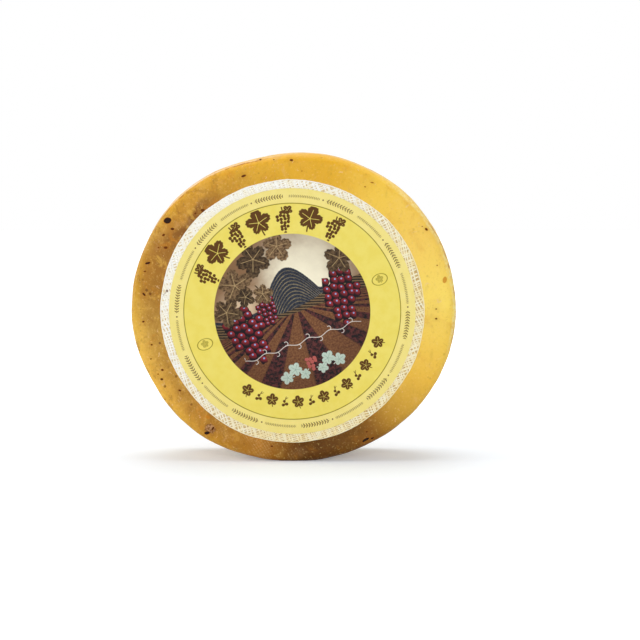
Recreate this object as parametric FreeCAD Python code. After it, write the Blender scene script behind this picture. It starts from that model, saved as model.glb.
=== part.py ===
import FreeCAD, Part
import math
import os

# A whole wheel of drunken cheese that stands on its heel, with a round label on one face.
# Millimetres, +Z up. The wheel's axis runs along Y and the labelled face looks towards -Y.
# The origin lies on the resting surface, straight below the middle of the wheel.
# Angles are in degrees round the axis as the labelled face is seen: 0 is right, 90 is up.

# Wheel
WHEEL_WIDTH = 326.6  # across the girth, without the lumps
WHEEL_HEIGHT = 312.4  # upright girth, without the lumps and before the heel sinks flat
WHEEL_THICKNESS = 80.0  # from face to face
HEEL_CROWN = 3.0  # how far the middle of the heel stands out past the rims of the faces
REST_SINK = 3.0  # how much of the heel is pressed flat where the wheel stands
SHOULDER_RADIUS = 9.0  # mean rounding between a face and the heel
SHOULDER_SWING = 2.0  # the rounding grows and shrinks by this round the wheel
SHOULDER_SOFT_AT = 30.0  # angle where the rounding is largest
FACE_BLEND = 4.0  # nearly flat strip between the rounding and the edge of the plane face

# Places where the girth leaves the oval: angle, spread in degrees, height (+ out, - in)
LUMPS = (
    (20.0, 24.0, -1.3),
    (63.0, 12.0, -1.1),
    (102.0, 20.0, -3.8),
    (158.0, 16.0, -1.1),
    (207.0, 6.0, -0.9),
    (233.0, 14.0, 2.0),
)

# Label: a printed paper disc on a slightly larger disc of gauze, both pasted on with no space between
LABEL_RIGHT = -1.3  # middle of the label from the middle of the wheel
LABEL_UP = -3.3
FACE_MARGIN = 7.6  # least of the plane face left bare beyond the gauze
GAUZE_THICKNESS = 0.5
GAUZE_WANDER = ((3, 0.5, 40.0), (7, 0.3, 200.0), (16, 0.2, 90.0))  # waves round, height, phase
GAUZE_BORDER = 8.7  # mean width of gauze that shows round the paper
PAPER_THICKNESS = 0.3

# Fineness of the curved surfaces
ROUND_POLES = 96
SHOULDER_POLES = 4
HEEL_POLES = 7
FACE_STEPS = 360  # places round the face where the room for the label is measured

HALF_THICKNESS = WHEEL_THICKNESS / 2
WHEEL_MIDDLE = FreeCAD.Vector(0, 0, WHEEL_HEIGHT / 2 - REST_SINK)
OUTWARDS = FreeCAD.Vector(0, -1, 0)  # the way the labelled face looks


def spline_gain(step):
    """How far outside a circle the poles of a cubic spline lie for the curve to run on that circle."""
    return 3 / (2 + math.cos(step))


def steps_round(count):
    """Evenly spaced angles for a full turn, in degrees."""
    return [360 * i / count for i in range(count)]


def girth(angle):
    """Radius of the widest line round the wheel: an oval with its lumps."""
    turn = math.radians(angle)
    across = WHEEL_WIDTH / 2
    upright = WHEEL_HEIGHT / 2
    radius = across * upright / math.hypot(upright * math.cos(turn), across * math.sin(turn))
    for centre, spread, height in LUMPS:
        away = (angle - centre + 180) % 360 - 180
        radius += height * math.exp(-((away / spread) ** 2))
    return radius


def shoulder(angle):
    """Rounding between face and heel at an angle."""
    return SHOULDER_RADIUS + SHOULDER_SWING * math.cos(math.radians(angle - SHOULDER_SOFT_AT))


def side_poles(angle):
    """Poles of the wheel's side in section, from the labelled face to the other one.

    Each is (distance out from the girth, y). Both arcs are tangent: the heel's one large arc runs into
    the roundings, and each rounding runs into its plane face.
    """
    rounding = shoulder(angle)
    heel_arc = (HALF_THICKNESS**2 + HEEL_CROWN**2) / (2 * HEEL_CROWN)  # radius of the heel in section
    corner_y = HALF_THICKNESS - rounding
    corner_out = math.sqrt((heel_arc - rounding) ** 2 - corner_y**2) - heel_arc
    heel_turn = math.asin(corner_y / (heel_arc - rounding))
    half = [(corner_out - inwards, -HALF_THICKNESS) for inwards in (FACE_BLEND, FACE_BLEND / 2, 0)]
    step = (math.pi / 2 - heel_turn) / SHOULDER_POLES
    for i in range(1, SHOULDER_POLES + 1):
        turn = math.pi / 2 - i * step
        reach = rounding * spline_gain(step)
        half.append((corner_out + reach * math.cos(turn), -corner_y - reach * math.sin(turn)))
    heel = []
    step = 2 * heel_turn / (HEEL_POLES + 1)
    for i in range(1, HEEL_POLES + 1):
        turn = -heel_turn + i * step
        reach = heel_arc * spline_gain(step)
        heel.append((reach * math.cos(turn) - heel_arc, reach * math.sin(turn)))
    return half + heel + [(out, -y) for out, y in reversed(half)]


def flat_edge(angle):
    """Distance from the wheel's axis to the edge of a plane face, where the side's surface starts."""
    edge_out, edge_y = side_poles(angle)[0]
    return girth(angle) + edge_out


def on_wheel(angle, radius, y):
    """Point at an angle and radius round the wheel's axis."""
    turn = math.radians(angle)
    return WHEEL_MIDDLE + FreeCAD.Vector(radius * math.cos(turn), y, radius * math.sin(turn))


def clamped_knots(poles):
    """Knots and multiplicities of a clamped cubic spline."""
    knots = list(range(poles - 2))
    return knots, [4] + [1] * (poles - 4) + [4]


def cheese_wheel():
    """The side as one smooth surface closed round the axis, two plane faces, and the flat it stands on."""
    gain = spline_gain(2 * math.pi / ROUND_POLES)
    grid = []
    for angle in steps_round(ROUND_POLES):
        grid.append([on_wheel(angle, (girth(angle) + out) * gain, y) for out, y in side_poles(angle)])
    across_knots, across_mults = clamped_knots(len(grid[0]))
    round_knots = list(range(ROUND_POLES + 1))
    round_mults = [1] * (ROUND_POLES + 1)
    surface = Part.BSplineSurface()
    surface.buildFromPolesMultsKnots(
        grid, round_mults, across_mults, round_knots, across_knots, True, False, 3, 3
    )
    side = surface.toShape()
    rims = [edge for edge in side.Edges if edge.isClosed()]
    faces = [Part.Face(Part.Wire([rim])) for rim in rims]
    skin = Part.Shell([side] + faces)
    skin.sewShape()
    return Part.Solid(skin).common(above_ground())


def above_ground():
    """Block that holds all of the wheel above the resting surface."""
    reach = WHEEL_WIDTH + WHEEL_HEIGHT
    corner = FreeCAD.Vector(-reach, -reach, 0)
    return Part.makeBox(2 * reach, 2 * reach, 2 * reach, corner)


def label_middle(height):
    """Middle of the label at a height above the labelled face."""
    from_axis = FreeCAD.Vector(LABEL_RIGHT, 0, LABEL_UP)
    return WHEEL_MIDDLE + from_axis + OUTWARDS * (HALF_THICKNESS + height)


def gauze_radius():
    """Mean radius of the gauze: it keeps its margin inside the flat face all the way round."""
    reaches = []
    for angle in steps_round(FACE_STEPS):
        turn = math.radians(angle)
        edge = flat_edge(angle)
        reaches.append(math.hypot(edge * math.cos(turn) - LABEL_RIGHT, edge * math.sin(turn) - LABEL_UP))
    return min(reaches) - FACE_MARGIN - sum(height for waves, height, phase in GAUZE_WANDER)


def label_gauze():
    """Disc of gauze with a slightly wandering cut edge, pasted on the face."""
    middle = label_middle(0)
    mean_radius = gauze_radius()
    gain = spline_gain(2 * math.pi / ROUND_POLES)
    poles = []
    for angle in steps_round(ROUND_POLES):
        radius = mean_radius
        for waves, height, phase in GAUZE_WANDER:
            radius += height * math.sin(math.radians(waves * angle + phase))
        turn = math.radians(angle)
        poles.append(middle + FreeCAD.Vector(math.cos(turn), 0, math.sin(turn)) * radius * gain)
    outline = Part.BSplineCurve()
    knots = list(range(ROUND_POLES + 1))
    outline.buildFromPolesMultsKnots(poles, [1] * (ROUND_POLES + 1), knots, True, 3)
    disc = Part.Face(Part.Wire([outline.toShape()]))
    return disc.extrude(OUTWARDS * GAUZE_THICKNESS)


def label_paper():
    """Round printed paper on top of the gauze."""
    middle = label_middle(GAUZE_THICKNESS)
    return Part.makeCylinder(gauze_radius() - GAUZE_BORDER, PAPER_THICKNESS, middle, OUTWARDS)


def write(node, shape):
    """Save one solid and print what it measures."""
    solid = shape.Solids[0]
    middle = solid.CenterOfMass
    print(
        f"{node}: valid {solid.isValid()}, solids {len(shape.Solids)}, volume {solid.Volume / 1000:.1f} cm3, "
        f"centre {middle.x:.2f}, {middle.y:.2f}, {middle.z:.2f} mm"
    )
    solid.exportStep(f"parts/{node}.step")


os.makedirs("parts", exist_ok=True)
write("cheese_wheel", cheese_wheel())
write("label_gauze", label_gauze())
write("label_paper", label_paper())
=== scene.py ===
from math import atan2, cos, degrees, hypot, pi, radians, sin, tau

import bpy
import numpy as np
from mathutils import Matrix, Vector, noise
from mathutils.bvhtree import BVHTree


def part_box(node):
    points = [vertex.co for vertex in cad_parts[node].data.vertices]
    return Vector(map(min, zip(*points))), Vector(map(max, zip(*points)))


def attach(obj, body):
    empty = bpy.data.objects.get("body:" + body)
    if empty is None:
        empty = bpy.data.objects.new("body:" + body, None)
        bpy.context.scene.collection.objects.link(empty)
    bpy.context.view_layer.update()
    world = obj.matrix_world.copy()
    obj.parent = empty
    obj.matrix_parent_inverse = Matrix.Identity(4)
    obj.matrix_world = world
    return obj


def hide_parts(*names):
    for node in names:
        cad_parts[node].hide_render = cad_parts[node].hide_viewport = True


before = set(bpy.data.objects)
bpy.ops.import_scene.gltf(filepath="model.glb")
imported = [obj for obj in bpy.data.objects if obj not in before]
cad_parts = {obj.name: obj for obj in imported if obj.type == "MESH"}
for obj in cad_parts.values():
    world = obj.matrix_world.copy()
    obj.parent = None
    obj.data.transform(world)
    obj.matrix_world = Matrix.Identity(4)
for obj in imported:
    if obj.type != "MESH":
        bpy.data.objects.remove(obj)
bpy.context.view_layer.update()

# A whole wheel of drunken cheese on its heel, with a round printed label on gauze. Metres, +Z up; the wheel's
# axis runs along Y and the labelled face looks towards -Y. Angles round the wheel are in degrees as that face
# is seen: 0 is right, 90 is up.

MM = 0.001

WHEEL_LOW, WHEEL_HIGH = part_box("cheese_wheel")
PAPER_LOW, PAPER_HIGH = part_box("label_paper")
GAUZE_LOW, GAUZE_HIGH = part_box("label_gauze")
FACE_Y = WHEEL_LOW.y  # the labelled face
BACK_Y = WHEEL_HIGH.y
AXIS_X = (WHEEL_LOW.x + WHEEL_HIGH.x) / 2
AXIS_Z = (WHEEL_LOW.z + WHEEL_HIGH.z) / 2
LABEL_X = (PAPER_LOW.x + PAPER_HIGH.x) / 2
LABEL_Z = (PAPER_LOW.z + PAPER_HIGH.z) / 2
PAPER_RADIUS = (PAPER_HIGH.x - PAPER_LOW.x) / 2
GAUZE_RADIUS = (GAUZE_HIGH.x - GAUZE_LOW.x) / 2
LABEL_TURN = radians(20.5)  # how far the label is pasted askew, anticlockwise


# ---- camera

CAMERA_DISTANCE = 1.5
CAMERA_UP = radians(5.2)  # above the middle of the label
CAMERA_RIGHT = radians(1.5)
CAMERA_LENS = 85.5  # millimetres
SENSOR_WIDTH = 36  # millimetres
AIM_RIGHT = 0.0274  # the aim lies this far from the middle of the label
AIM_DOWN = 0.0080


def linked(name, data):
    """A new object in the scene."""
    thing = bpy.data.objects.new(name, data)
    bpy.context.scene.collection.objects.link(thing)
    return thing


def point_at(thing, target):
    """Turn a camera or a lamp towards a point."""
    thing.rotation_euler = (target - thing.location).to_track_quat("-Z", "Y").to_euler()


def make_camera():
    middle = Vector((LABEL_X, FACE_Y, LABEL_Z))
    level = cos(CAMERA_UP)
    away = Vector((sin(CAMERA_RIGHT) * level, -cos(CAMERA_RIGHT) * level, sin(CAMERA_UP)))
    data = bpy.data.cameras.new("camera")
    data.lens = CAMERA_LENS
    data.sensor_width = SENSOR_WIDTH
    camera = linked("camera", data)
    camera.location = middle + away * CAMERA_DISTANCE
    point_at(camera, middle + Vector((AIM_RIGHT, 0, -AIM_DOWN)))
    bpy.context.scene.camera = camera


# ---- node trees


def operator(kind, reflected=False):
    """A method of Value that adds one kind of Math node. Reflected, the value comes second."""

    def method(value, other):
        first, second = (other, value) if reflected else (value, other)
        return value.graph.math(kind, first, second)

    return method


class Value:
    """A socket that takes part in arithmetic: each operator adds one Math node to its tree."""

    def __init__(self, graph, socket):
        self.graph = graph
        self.socket = socket

    __add__ = operator("ADD")
    __radd__ = operator("ADD", reflected=True)
    __sub__ = operator("SUBTRACT")
    __rsub__ = operator("SUBTRACT", reflected=True)
    __mul__ = operator("MULTIPLY")
    __rmul__ = operator("MULTIPLY", reflected=True)
    __truediv__ = operator("DIVIDE")
    __rtruediv__ = operator("DIVIDE", reflected=True)
    __pow__ = operator("POWER")
    __lt__ = operator("LESS_THAN")
    __gt__ = operator("GREATER_THAN")

    def __neg__(self):
        return self * -1

    def __abs__(self):
        return self.graph.math("ABSOLUTE", self)


class Graph:
    """A node tree and the few ways in which this script adds to it."""

    def __init__(self, tree):
        self.tree = tree

    def plug(self, socket, value):
        """Link a value to a socket, or set it there."""
        if isinstance(value, Value):
            self.tree.links.new(value.socket, socket)
        else:
            socket.default_value = value

    def add(self, kind, settings=None, inputs=None):
        """Add a node: its settings come first, then the values or links of its sockets."""
        node = self.tree.nodes.new(kind)
        for name, value in (settings or {}).items():
            if name == "stops":
                ramp = node.color_ramp
                while len(ramp.elements) < len(value):
                    ramp.elements.new(1)
                for element, (place, colour) in zip(ramp.elements, value, strict=True):
                    element.position = place
                    element.color = (*colour, 1)
            else:
                setattr(node, name, value)
        for name, value in (inputs or {}).items():
            found = [s for s in node.inputs if name in (s.identifier, s.name) and s.enabled]
            self.plug(found[0] if found else node.inputs[name], value)
        return node

    def out(self, node, name=0):
        """An output of a node as a value."""
        if isinstance(name, str):
            found = [s for s in node.outputs if name in (s.identifier, s.name) and s.enabled]
            return Value(self, found[0])
        return Value(self, node.outputs[name])

    def math(self, operation, *values, clamp=False):
        node = self.add("ShaderNodeMath", {"operation": operation, "use_clamp": clamp})
        for socket, value in zip(node.inputs, values, strict=False):
            self.plug(socket, value)
        return self.out(node)

    def largest(self, first, *others):
        for other in others:
            first = self.math("MAXIMUM", first, other)
        return first

    def sine(self, angle):
        return self.math("SINE", angle)

    def hypot(self, x, y):
        return (x * x + y * y) ** 0.5

    def step(self, value, low, high, reach=(0, 1), smooth=True):
        """Ease from reach[0] to reach[1] as a value goes from low to high."""
        node = self.add(
            "ShaderNodeMapRange",
            {"interpolation_type": "SMOOTHSTEP" if smooth else "LINEAR"},
            {"Value": value, "From Min": low, "From Max": high, "To Min": reach[0], "To Max": reach[1]},
        )
        return self.out(node)

    def window(self, value, rise, fall):
        """1 within two edges. Each edge is given as where it is 0 and where it is 1."""
        return self.step(value, *rise) * self.step(value, *fall)

    def mix(self, factor, first, second, blend="MIX"):
        """Blend two colours."""
        first = (*first, 1) if isinstance(first, tuple) else first
        second = (*second, 1) if isinstance(second, tuple) else second
        node = self.add(
            "ShaderNodeMix",
            {"data_type": "RGBA", "blend_type": blend, "clamp_factor": True},
            {"Factor_Float": factor, "A_Color": first, "B_Color": second},
        )
        return self.out(node, "Result_Color")

    def parts(self, vector):
        """The three numbers of a vector."""
        node = self.add("ShaderNodeSeparateXYZ", inputs={"Vector": vector})
        return [self.out(node, i) for i in range(3)]

    def vector(self, x, y, z):
        return self.out(self.add("ShaderNodeCombineXYZ", inputs={"X": x, "Y": y, "Z": z}))

    def scaled(self, vector, factors):
        node = self.add("ShaderNodeVectorMath", {"operation": "MULTIPLY"})
        self.plug(node.inputs[0], vector)
        self.plug(node.inputs[1], factors)
        return self.out(node)

    def mapped(self, vector, middle, turn, size):
        """Coordinates about a middle, turned, with 1 as the given size."""
        inputs = {"Vector": vector, "Location": middle, "Rotation": turn, "Scale": size}
        return self.out(self.add("ShaderNodeMapping", {"vector_type": "TEXTURE"}, inputs))

    def noise(self, vector, scale, detail=2.0, rough=0.5, distortion=0.0):
        inputs = {"Vector": vector, "Scale": scale, "Detail": detail, "Roughness": rough}
        inputs["Distortion"] = distortion
        return self.out(self.add("ShaderNodeTexNoise", inputs=inputs), "Fac")

    def length(self, vector):
        node = self.add("ShaderNodeVectorMath", {"operation": "LENGTH"}, {"Vector": vector})
        return self.out(node, "Value")

    def cells(self, vector, scale):
        """Distance from the nearest of many scattered points, in cells."""
        node = self.add("ShaderNodeTexVoronoi", inputs={"Vector": vector, "Scale": scale})
        return self.out(node, "Distance")

    def place(self):
        """Object coordinates in metres."""
        return self.out(self.add("ShaderNodeTexCoord"), "Object")

    def attribute(self, name):
        return self.out(self.add("ShaderNodeAttribute", {"attribute_name": name}), "Fac")

    def bump(self, height, strength, distance):
        inputs = {"Height": height, "Strength": strength, "Distance": distance}
        return self.out(self.add("ShaderNodeBump", inputs=inputs))


def new_material(name, settings):
    """A material with one Principled shader. Returns it, its graph and its shader."""
    material = bpy.data.materials.new(name)
    material.use_nodes = True
    graph = Graph(material.node_tree)
    shader = material.node_tree.nodes["Principled BSDF"]
    for socket, value in settings.items():
        graph.plug(shader.inputs[socket], value)
    return material, graph, shader


# ---- texture layouts

LAYOUT = "OFBake"  # the name of the map that lays out a piece's textures


def read(items, name, width=1, kind=np.float32):
    """One property of all the items of a mesh, as an array."""
    values = np.empty(len(items) * width, kind)
    items.foreach_get(name, values)
    return values.reshape(-1, width) if width > 1 else values


def corner_facts(mesh):
    """Of each face corner: its vertex, its face and its place. Of each face: its first corner."""
    vertex = read(mesh.loops, "vertex_index", kind=np.int32)
    first = read(mesh.polygons, "loop_start", kind=np.int32)
    face = np.repeat(np.arange(len(first)), np.diff(np.append(first, len(vertex))))
    return vertex, face, read(mesh.vertices, "co", 3)[vertex], first


def lay_out(mesh, u, v):
    """Give a mesh its layout, from one pair of numbers per face corner."""
    layer = mesh.uv_layers.new(name=LAYOUT)
    layer.data.foreach_set("uv", np.stack((u, v), axis=1).astype(np.float32).ravel())


def lay_out_disc(mesh, radius, back_from):
    """A closed disc's layout: its front as large as fits, its rim round that, and its back in a corner."""
    vertex, face, place, first = corner_facts(mesh)
    front_pole = len(mesh.vertices) - 2
    behind = (vertex >= back_from) & (vertex != front_pole)
    all_behind = np.minimum.reduceat(behind, first)[face]
    scale = np.where(all_behind, 0.055, np.where(behind, 0.487, 0.475)) / radius
    middle = np.where(all_behind, 0.065, 0.5)
    lay_out(mesh, middle + (place[:, 0] - LABEL_X) * scale, middle + (place[:, 2] - LABEL_Z) * scale)


# ---- closed discs


def closed_disc(name, turns, rings, ring_point, poles):
    """A closed disc: rings of points in front, the same behind, and a pole in the middle of each side."""
    angles = [tau * i / turns for i in range(turns)]
    verts = [ring_point(side, ring, angle) for side in (0, 1) for ring in range(rings) for angle in angles]
    layer = rings * turns
    rim = layer - turns
    faces = []
    for i in range(turns):
        j = (i + 1) % turns
        faces.append((2 * layer, i, j))
        faces.append((2 * layer + 1, layer + j, layer + i))
        for a in range(0, rim, turns):
            b = a + turns
            faces.append((a + i, b + i, b + j, a + j))
            faces.append((layer + a + j, layer + b + j, layer + b + i, layer + a + i))
        faces.append((rim + i, layer + rim + i, layer + rim + j, rim + j))
    mesh = bpy.data.meshes.new(name)
    mesh.from_pydata(verts + poles, [], faces)
    mesh.update()
    return mesh


# ---- rind

# Marks on the rind beside the label: angle and distance from the label's middle in mm, length and width
# in mm, turn in degrees, darkness (0 orange, 1 black)
MARKS = (
    (143.7, 152.0, 7.4, 5.6, 8, 0.90),
    (145.2, 143.1, 3.6, 2.5, 0, 0.72),
    (149.1, 147.4, 3.4, 2.2, 40, 0.62),
    (153.0, 139.6, 4.0, 2.6, 0, 0.58),
    (154.2, 145.8, 2.4, 1.8, 10, 0.40),
    (161.3, 150.0, 5.2, 2.3, 14, 0.80),
    (164.6, 150.6, 3.0, 1.6, 5, 0.40),
    (173.3, 147.3, 4.2, 2.0, -50, 0.76),
    (183.8, 147.4, 2.3, 1.8, 0, 0.65),
    (134.4, 135.7, 2.4, 1.6, 30, 0.65),
    (131.3, 132.8, 4.2, 3.0, 0, 0.65),
    (109.5, 141.7, 4.6, 2.1, 20, 0.72),
    (101.7, 153.4, 3.2, 2.1, 60, 0.75),
    (90.2, 149.0, 3.2, 2.1, 0, 0.65),
    (96.8, 150.5, 1.4, 1.0, 0, 0.45),
    (86.0, 138.7, 1.5, 1.0, 0, 0.30),
    (193.2, 143.0, 2.1, 1.6, 0, 0.45),
    (198.5, 147.7, 1.7, 1.2, 20, 0.42),
    (204.2, 141.2, 2.6, 2.0, 0, 0.60),
    (205.0, 146.9, 1.9, 1.4, 0, 0.35),
    (207.4, 145.9, 2.6, 2.1, 0, 0.75),
    (215.0, 136.5, 3.0, 1.8, -20, 0.65),
    (234.9, 148.0, 5.6, 3.3, 10, 1.00),
    (235.8, 141.0, 4.2, 1.8, 55, 0.75),
    (231.3, 134.5, 5.0, 3.6, -30, 0.13),
    (261.3, 135.9, 2.6, 1.8, 0, 0.60),
    (301.7, 140.8, 2.4, 1.7, 0, 0.70),
    (299.6, 147.2, 8.0, 2.7, 32, 1.00),
    (302.2, 149.4, 4.0, 1.8, 28, 0.80),
    (58.3, 149.3, 3.4, 1.2, -10, 0.35),
    (59.8, 142.3, 1.9, 1.3, 0, 0.30),
    (31.7, 155.0, 3.3, 2.3, -40, 0.55),
    (33.4, 153.0, 1.6, 1.1, 0, 0.30),
    (11.9, 153.6, 6.4, 4.4, 80, 0.15),
    (1.2, 142.0, 1.6, 1.2, 0, 0.50),
    (-2.7, 142.2, 2.2, 1.7, 0, 0.55),
    (17.9, 149.8, 1.5, 1.1, 0, 0.35),
)

PATCH_ANGLE, PATCH_DISTANCE = radians(235), 142.5 * MM  # from the label's middle, the dry patch low down
PATCH_SIZE = (0.0055, 0.0048)  # half its width and height
PATCH = (LABEL_X + PATCH_DISTANCE * cos(PATCH_ANGLE), LABEL_Z + PATCH_DISTANCE * sin(PATCH_ANGLE))

TURNS = 720  # columns round the wheel
FACE_RING = 0.040  # outer ring of each face, which gets the finest rows
FACE_ROWS = 26
HEEL_ROWS = 50
BACK_ROWS = 20
BACK_INNER_ROWS = 30
UNDER_LABEL_ROWS = 4
FRONT_DEPTH = 0.012  # what lies no deeper than this behind the labelled face counts as its front
MARK_DEPTH = 0.020  # marks reach this far back over the shoulder
DIP_SPARE = 0.8 * MM  # how much wider than its mark a dip is
DEEPEST_DIP = 0.9  # mm
HALO = 2.2  # how much wider than its dip the stain round a mark is
CRACKED_FROM = 0.75  # cracks start where the surface looks less than this along the axis
CRACK_FINENESS = (40, 130, 40)
CRACK_DEPTH = 0.32  # mm
UNDER_GAUZE = 4 * MM  # the face is flat this far inside the gauze's edge
GAUZE_MARGIN = 6 * MM  # and reaches its full unevenness over this far, from 1 mm inside the edge

# The rind's own unevenness: how fine, its height in mm, and a shift that keeps the layers apart
UNEVENNESS = ((22, 0.55, (0, 0, 0)), (60, 0.28, (3, 7, 1)), (150, 0.12, (9, 2, 4)), (420, 0.05, (0, 0, 0)))


def cad_tree():
    """The CAD wheel as a tree that rays can be shot at."""
    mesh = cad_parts["cheese_wheel"].data
    points = [v.co.copy() for v in mesh.vertices]
    faces = [tuple(p.vertices) for p in mesh.polygons]
    return BVHTree.FromPolygons(points, faces)


def rind_lattice():
    """Base points of the rind, column by column, each from the labelled face over the heel to the back."""
    tree = cad_tree()
    thick = BACK_Y - FACE_Y
    hub = Vector((AXIS_X, (FACE_Y + BACK_Y) / 2, AXIS_Z))
    # aims of the rays from a ring inside the wheel: shares of FACE_RING outwards, and of the thickness back
    aims = [(k / FACE_ROWS, -0.5) for k in range(FACE_ROWS)]
    aims += [(1, k / HEEL_ROWS - 0.5) for k in range(HEEL_ROWS + 1)]
    aims += [(1 - (k + 1) / BACK_ROWS, 0.5) for k in range(BACK_ROWS)]
    columns = []
    for i in range(TURNS):
        turn = tau * i / TURNS
        out = Vector((cos(turn), 0, sin(turn)))
        inner = (tree.ray_cast(hub, out)[0] - hub).length - FACE_RING
        root = hub + out * inner
        column = inner_points(out, inner, UNDER_LABEL_ROWS, FACE_Y)
        for outwards, backwards in aims:
            target = root + out * (FACE_RING * outwards) + Vector((0, thick * backwards, 0))
            column.append(tree.ray_cast(root, (target - root).normalized())[0])
        columns.append(column + inner_points(out, inner, BACK_INNER_ROWS, BACK_Y)[::-1])
    return np.array([[tuple(p) for p in column] for column in columns])


def inner_points(out, reach, count, y):
    """Evenly spaced points on a plane face, from near the wheel's axis outwards."""
    distances = [reach * k / (count + 1) for k in range(1, count + 1)]
    return [Vector((AXIS_X + out.x * distance, y, AXIS_Z + out.z * distance)) for distance in distances]


def lattice_normals(points):
    """Outward directions of the lattice, smoothed from its neighbours."""
    round_step = np.roll(points, -1, axis=0) - np.roll(points, 1, axis=0)
    across_step = np.gradient(points, axis=1)
    normal = np.cross(across_step, round_step)
    length = np.linalg.norm(normal, axis=2, keepdims=True)
    return normal / np.maximum(length, 1e-12)


def wrinkled(point):
    """Height of the rind's own unevenness at a point, in mm."""
    p = Vector(point)
    return sum(noise.noise(p * fine + Vector(shift)) * height for fine, height, shift in UNEVENNESS)


def heel_cracks(point):
    """Depth of the fine creases on the heel, in mm."""
    p = Vector(x * fine for x, fine in zip(point, CRACK_FINENESS, strict=True))
    ridge = 1 - abs(noise.noise(p + Vector((5, 5, 5)))) * 5
    return max(0.0, ridge) * CRACK_DEPTH


def mark_places():
    """Where each listed mark lies on the labelled face or its shoulder, in metres."""
    tree = cad_tree()
    places = []
    for angle, distance, *_ in MARKS:
        a = radians(angle)
        x, z = LABEL_X + distance * MM * cos(a), LABEL_Z + distance * MM * sin(a)
        hit = tree.ray_cast(Vector((x, FACE_Y - 0.1, z)), Vector((0, 1, 0)))[0]
        places.append((x, hit.y if hit else FACE_Y, z))
    return places


def rind_height(point, along_axis):
    """Height of the rind over its base at a point, in mm."""
    from_label = hypot(point[0] - LABEL_X, point[2] - LABEL_Z)
    on_front = point[1] < FACE_Y + FRONT_DEPTH
    if on_front and from_label < GAUZE_RADIUS - UNDER_GAUZE:
        return 0.0
    height = wrinkled(point)
    if along_axis < CRACKED_FROM:
        height -= heel_cracks(point) * (1 - along_axis / CRACKED_FROM)
    if on_front:
        height *= min(1.0, max(0.0, (from_label - GAUZE_RADIUS + MM) / GAUZE_MARGIN))
    return height


def rind_mesh():
    """The rind, closed, with how stained each point is and how far it lies inside the widest line, in mm."""
    base = rind_lattice()
    normals = lattice_normals(base)
    turns, rows, _ = base.shape
    from_axis = np.hypot(base[..., 0] - AXIS_X, base[..., 2] - AXIS_Z)
    inset = (from_axis.max(axis=1, keepdims=True) - from_axis) / MM
    height = np.zeros((turns, rows))
    for i, k in np.ndindex(turns, rows):
        height[i, k] = rind_height(base[i, k], abs(normals[i, k, 1]))
    stain = np.zeros((turns, rows))
    near_front = base[..., 1] < FACE_Y + MARK_DEPTH
    for (x, _, z), (_, _, length, width, _, depth) in zip(mark_places(), MARKS, strict=True):
        reach = (length + width) / 4 * MM + DIP_SPARE
        away = (base[..., 0] - x) ** 2 + (base[..., 2] - z) ** 2
        dip = min(DEEPEST_DIP, 0.12 * (length + width)) * (0.3 + 0.7 * depth)
        height -= np.exp(-away / reach**2) * near_front * dip
        stain = np.maximum(stain, np.exp(-away / (HALO * reach) ** 2) * near_front * depth)
    points = base + normals * height[..., None] * MM
    points[..., 2] = np.maximum(points[..., 2], 0)
    verts = points.reshape(-1, 3).tolist()
    front_pole, back_pole = len(verts), len(verts) + 1
    verts += [(AXIS_X, FACE_Y, AXIS_Z), (AXIS_X, points[:, -1, 1].mean(), AXIS_Z)]
    faces = []
    for i in range(turns):
        j = (i + 1) % turns
        faces.append((front_pole, i * rows, j * rows))
        faces.append((back_pole, j * rows + rows - 1, i * rows + rows - 1))
        for k in range(rows - 1):
            faces.append((i * rows + k, i * rows + k + 1, j * rows + k + 1, j * rows + k))
    mesh = bpy.data.meshes.new("rind")
    mesh.from_pydata(verts, [], faces)
    mesh.update()
    for name, values in (("stain", stain), ("inset", inset)):
        layer = mesh.attributes.new(name, "FLOAT", "POINT")
        at_poles = values.mean(axis=0)[[0, -1]]
        layer.data.foreach_set("value", np.append(values.ravel(), at_poles).astype(np.float32))
    mesh.polygons.foreach_set("use_smooth", [True] * len(mesh.polygons))
    lay_out_rind(mesh, base)
    return mesh


def lay_out_rind(mesh, base):
    """The rind's layout: two strips of half a turn each, from the face's middle over the heel to the back."""
    turns, rows, _ = base.shape
    steps = np.linalg.norm(np.diff(base, axis=1), axis=2).mean(axis=0)
    steps[:UNDER_LABEL_ROWS] *= 0.03  # hidden under the label
    steps[-BACK_INNER_ROWS:] *= 0.7
    across = 0.01 + 0.98 * np.append(0, np.cumsum(steps)) / steps.sum()
    # one column's corners: the faces at the two poles, then the faces from row to row
    column = [(0.5, 0.0), (0, across[0]), (1, across[0]), (0.5, 1.0), (1, across[-1]), (0, across[-1])]
    for k in range(rows - 1):
        column += [(0, across[k]), (0, across[k + 1]), (1, across[k + 1]), (1, across[k])]
    du, v = np.array(column).T
    half = turns // 2
    turn = np.arange(turns)[:, None]
    u = 0.995 - 0.99 * (turn % half + du) / half
    lay_out(mesh, u.ravel(), (0.5 * (turn // half) + 0.0075 + 0.485 * v).ravel())


# The rind's colour round the labelled face, from the right anticlockwise, in degrees
# partly the rind's own tone, partly painted light: the bright stops on the right hold a painted sheen, the
# dark stops at the foot (254 to 305) painted shade
RING_COLOURS = (
    (0, (1.0, 0.735, 0.135)),
    (28, (0.94, 0.620, 0.112)),
    (55, (0.92, 0.590, 0.070)),
    (76, (0.79, 0.42, 0.022)),
    (105, (0.80, 0.430, 0.032)),
    (130, (0.66, 0.320, 0.031)),
    (152, (0.455, 0.200, 0.026)),
    (172, (0.475, 0.215, 0.022)),
    (192, (0.78, 0.460, 0.076)),
    (212, (0.83, 0.450, 0.064)),
    (232, (0.56, 0.260, 0.028)),
    (254, (0.45, 0.175, 0.010)),
    (280, (0.20, 0.062, 0.001)),
    (305, (0.36, 0.150, 0.014)),
    (332, (0.86, 0.51, 0.060)),
    (360, (1.0, 0.735, 0.135)),
)


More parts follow.
